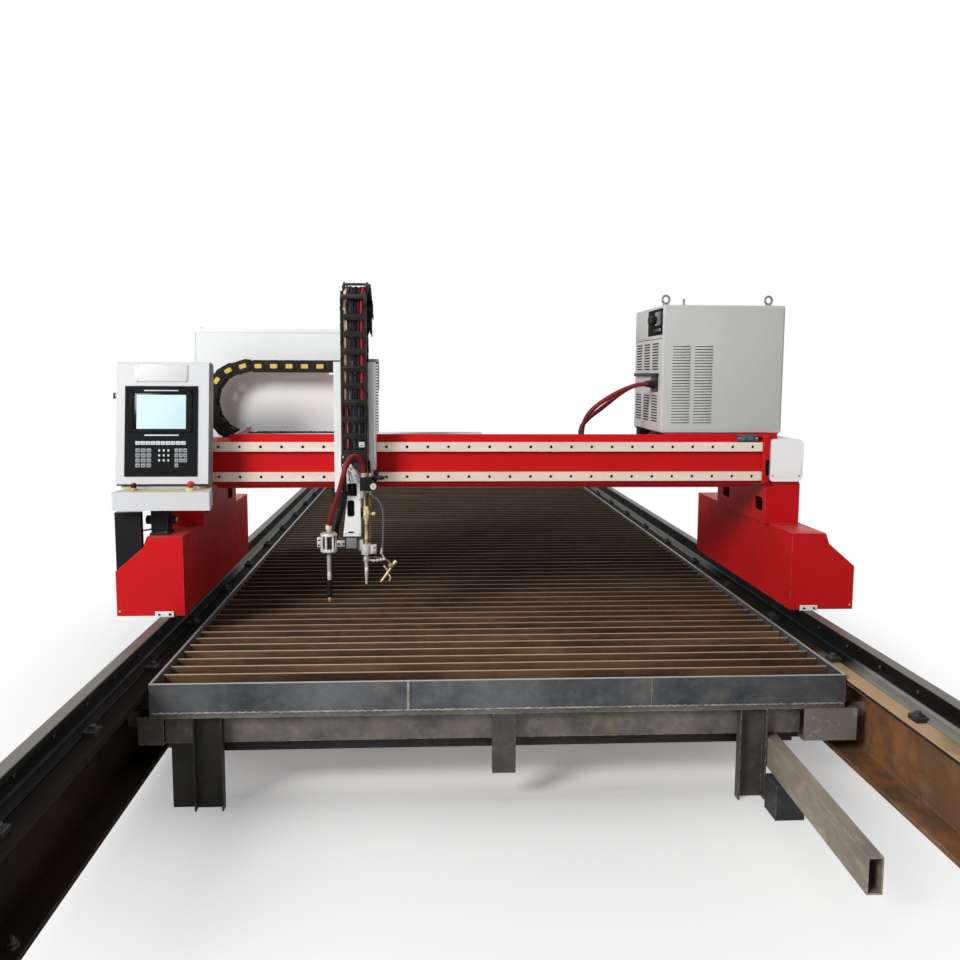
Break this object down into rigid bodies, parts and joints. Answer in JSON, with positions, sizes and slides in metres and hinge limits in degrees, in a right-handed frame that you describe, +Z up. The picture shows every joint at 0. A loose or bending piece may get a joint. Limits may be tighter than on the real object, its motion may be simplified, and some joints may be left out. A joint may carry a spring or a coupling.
{
  "type": "gantry cnc cutting machine",
  "caption": "Gantry cutting machine on ground rails over a slat table, with a cross carriage carrying a plasma and a flame torch, a swivel console and energy chains.",
  "frame": {"origin": "on the floor, midway between the rails and at mid length of the rails", "axes": "+X across the machine to the right as seen by the operator, +Y along the rails towards the far end, +Z up"},
  "size_m": [3.433, 8.4, 2.1339],
  "materials": {
    "red_paint": "gloss paint",
    "white_paint": "satin powder coat",
    "grey_paint": "satin powder coat",
    "black_paint": "satin paint",
    "mill_steel": "mill scale",
    "rusty_steel": "rusted",
    "rail_steel": "dark rolled, bright running head",
    "bright_steel": "ground",
    "black_plastic": "matte",
    "panel_black": "semi-gloss film",
    "red_plastic": "gloss",
    "brass": "turned",
    "red_rubber": "matte hose",
    "black_rubber": "matte hose",
    "aluminium": "cast and machined"
  },
  "bodies": {
    "base": {"rail_pads": "rusty_steel", "rail_beam_left": "rusty_steel", "rail_beam_right": "rusty_steel", "rail_left": "rail_steel", "rail_right": "rail_steel", "rail_racks": "bright_steel", "rail_clamps": "rail_steel", "table_skirt_front": "mill_steel", "table_skirt_rear": "mill_steel", "table_side_left": "mill_steel", "table_side_right": "mill_steel", "table_slats": "rusty_steel", "table_frame": "mill_steel", "table_legs": "mill_steel", "runner_block": "rusty_steel", "table_runner": "rusty_steel"},
    "gantry": {"carriage_shell_left": "red_paint", "carriage_shell_right": "red_paint", "carriage_frames": "red_paint", "drive_motors": "black_paint", "column_left": "red_paint", "column_right": "red_paint", "beam": "red_paint", "guide_rails": "bright_steel", "beam_rack": "bright_steel", "end_covers": "white_paint", "chain_trough": "white_paint", "cabinet_case": "grey_paint", "power_source": "grey_paint", "power_cables": "red_rubber", "console_post": "black_paint"},
    "console": {"console_shelf": "grey_paint", "console_case": "grey_paint", "console_panel": "panel_black"},
    "estop": {"estop_button": "red_plastic"},
    "key": {"key_switch": "brass"},
    "door": {"cabinet_door": "grey_paint"},
    "wheel_lf": {"wheel_left_front": "bright_steel"},
    "wheel_lr": {"wheel_left_rear": "bright_steel"},
    "wheel_rf": {"wheel_right_front": "bright_steel"},
    "wheel_rr": {"wheel_right_rear": "bright_steel"},
    "pinion_l": {"drive_pinion_left": "bright_steel"},
    "pinion_r": {"drive_pinion_right": "bright_steel"},
    "cross": {"cross_carriage": "white_paint", "cross_motors": "black_paint", "x_chain_upper": "black_plastic"},
    "traverse_pinion": {"cross_pinion": "bright_steel"},
    "screw": {"lift_screw": "bright_steel"},
    "x_bend": {"x_chain_bend": "black_plastic"},
    "lifter_body": {"lifter": "white_paint", "torch_clamp": "aluminium", "plasma_torch": "bright_steel", "gas_block": "black_plastic", "flame_torch": "brass", "plasma_hose": "red_rubber", "gas_hoses": "black_rubber", "z_chain_front": "black_plastic"},
    "z_bend": {"z_chain_bend": "black_plastic"},
    "valve_r": {"gas_valve_right": "brass"},
    "valve_f": {"gas_valve_front": "brass"}
  },
  "joints": [
    {"name": "gantry_slide", "type": "slide", "parent": "base", "child": "gantry", "axis": [0, 1, 0], "range_m": [-2, 4.4]},
    {"name": "wheel_lf_spin", "type": "hinge", "parent": "gantry", "child": "wheel_lf", "pos_m": [-1.5, -1.836, 0.682], "axis": [1, 0, 0], "continuous": true},
    {"name": "wheel_lr_spin", "type": "hinge", "parent": "gantry", "child": "wheel_lr", "pos_m": [-1.5, -0.66, 0.682], "axis": [1, 0, 0], "continuous": true},
    {"name": "wheel_rf_spin", "type": "hinge", "parent": "gantry", "child": "wheel_rf", "pos_m": [1.5, -1.836, 0.682], "axis": [1, 0, 0], "continuous": true},
    {"name": "wheel_rr_spin", "type": "hinge", "parent": "gantry", "child": "wheel_rr", "pos_m": [1.5, -0.66, 0.682], "axis": [1, 0, 0], "continuous": true},
    {"name": "pinion_l_spin", "type": "hinge", "parent": "gantry", "child": "pinion_l", "pos_m": [-1.5925, -1.248, 0.558], "axis": [0, 0, 1], "continuous": true},
    {"name": "pinion_r_spin", "type": "hinge", "parent": "gantry", "child": "pinion_r", "pos_m": [1.5925, -1.248, 0.558], "axis": [0, 0, 1], "continuous": true},
    {"name": "cross_slide", "type": "slide", "parent": "gantry", "child": "cross", "axis": [1, 0, 0], "range_m": [-0.45, 1.3]},
    {"name": "traverse_spin", "type": "hinge", "parent": "cross", "child": "traverse_pinion", "pos_m": [-0.7215, -1.685, 1.132], "axis": [0, 1, 0], "continuous": true},
    {"name": "x_chain_roll", "type": "slide", "parent": "cross", "child": "x_bend", "axis": [1, 0, 0], "range_m": [-0.65, 0.225], "deforming": ["x_chain_upper"]},
    {"name": "lift_slide", "type": "slide", "parent": "cross", "child": "lifter_body", "axis": [0, 0, 1], "range_m": [-0.11, 0.09]},
    {"name": "screw_spin", "type": "hinge", "parent": "cross", "child": "screw", "pos_m": [-0.5665, -1.825, 1.5], "axis": [0, 0, 1], "continuous": true},
    {"name": "z_chain_roll", "type": "slide", "parent": "lifter_body", "child": "z_bend", "axis": [0, 0, 1], "range_m": [-0.045, 0.055], "deforming": ["z_chain_front"]},
    {"name": "console_swivel", "type": "hinge", "parent": "gantry", "child": "console", "pos_m": [-1.53, -1.91, 1.105], "axis": [0, 0, 1], "range_deg": [-30, 12]},
    {"name": "estop_press", "type": "slide", "parent": "console", "child": "estop", "axis": [0, 0, -1], "range_m": [0, 0.006], "stiffness_N_per_m": 1500, "springref_m": -0.004},
    {"name": "key_turn", "type": "hinge", "parent": "console", "child": "key", "pos_m": [-1.624, -1.998, 1.2], "axis": [0, 0, 1], "range_deg": [0, 90]},
    {"name": "door_swing", "type": "hinge", "parent": "gantry", "child": "door", "pos_m": [-1.54, -0.994, 1.6], "axis": [0, 0, 1], "range_deg": [0, 110]},
    {"name": "valve_r_turn", "type": "hinge", "parent": "lifter_body", "child": "valve_r", "pos_m": [-0.56, -1.8793, 1.059], "axis": [1, 0, 0], "range_deg": [0, 270]},
    {"name": "valve_f_turn", "type": "hinge", "parent": "lifter_body", "child": "valve_f", "pos_m": [-0.592, -1.91, 1.059], "axis": [0, 1, 0], "range_deg": [0, 270]}
  ],
  "couplings": [
    {"joint": "wheel_lf_spin", "follows": "gantry_slide", "rad_per_m": -13.405},
    {"joint": "wheel_lr_spin", "follows": "gantry_slide", "rad_per_m": -13.405},
    {"joint": "wheel_rf_spin", "follows": "gantry_slide", "rad_per_m": -13.405},
    {"joint": "wheel_rr_spin", "follows": "gantry_slide", "rad_per_m": -13.405},
    {"joint": "pinion_r_spin", "follows": "gantry_slide", "rad_per_m": 18.519},
    {"joint": "pinion_l_spin", "follows": "gantry_slide", "rad_per_m": -18.519},
    {"joint": "traverse_spin", "follows": "cross_slide", "rad_per_m": -33.333},
    {"joint": "x_chain_roll", "follows": "cross_slide", "ratio": -0.5},
    {"joint": "screw_spin", "follows": "lift_slide", "rad_per_m": 157.08},
    {"joint": "z_chain_roll", "follows": "lift_slide", "ratio": -0.5}
  ]
}
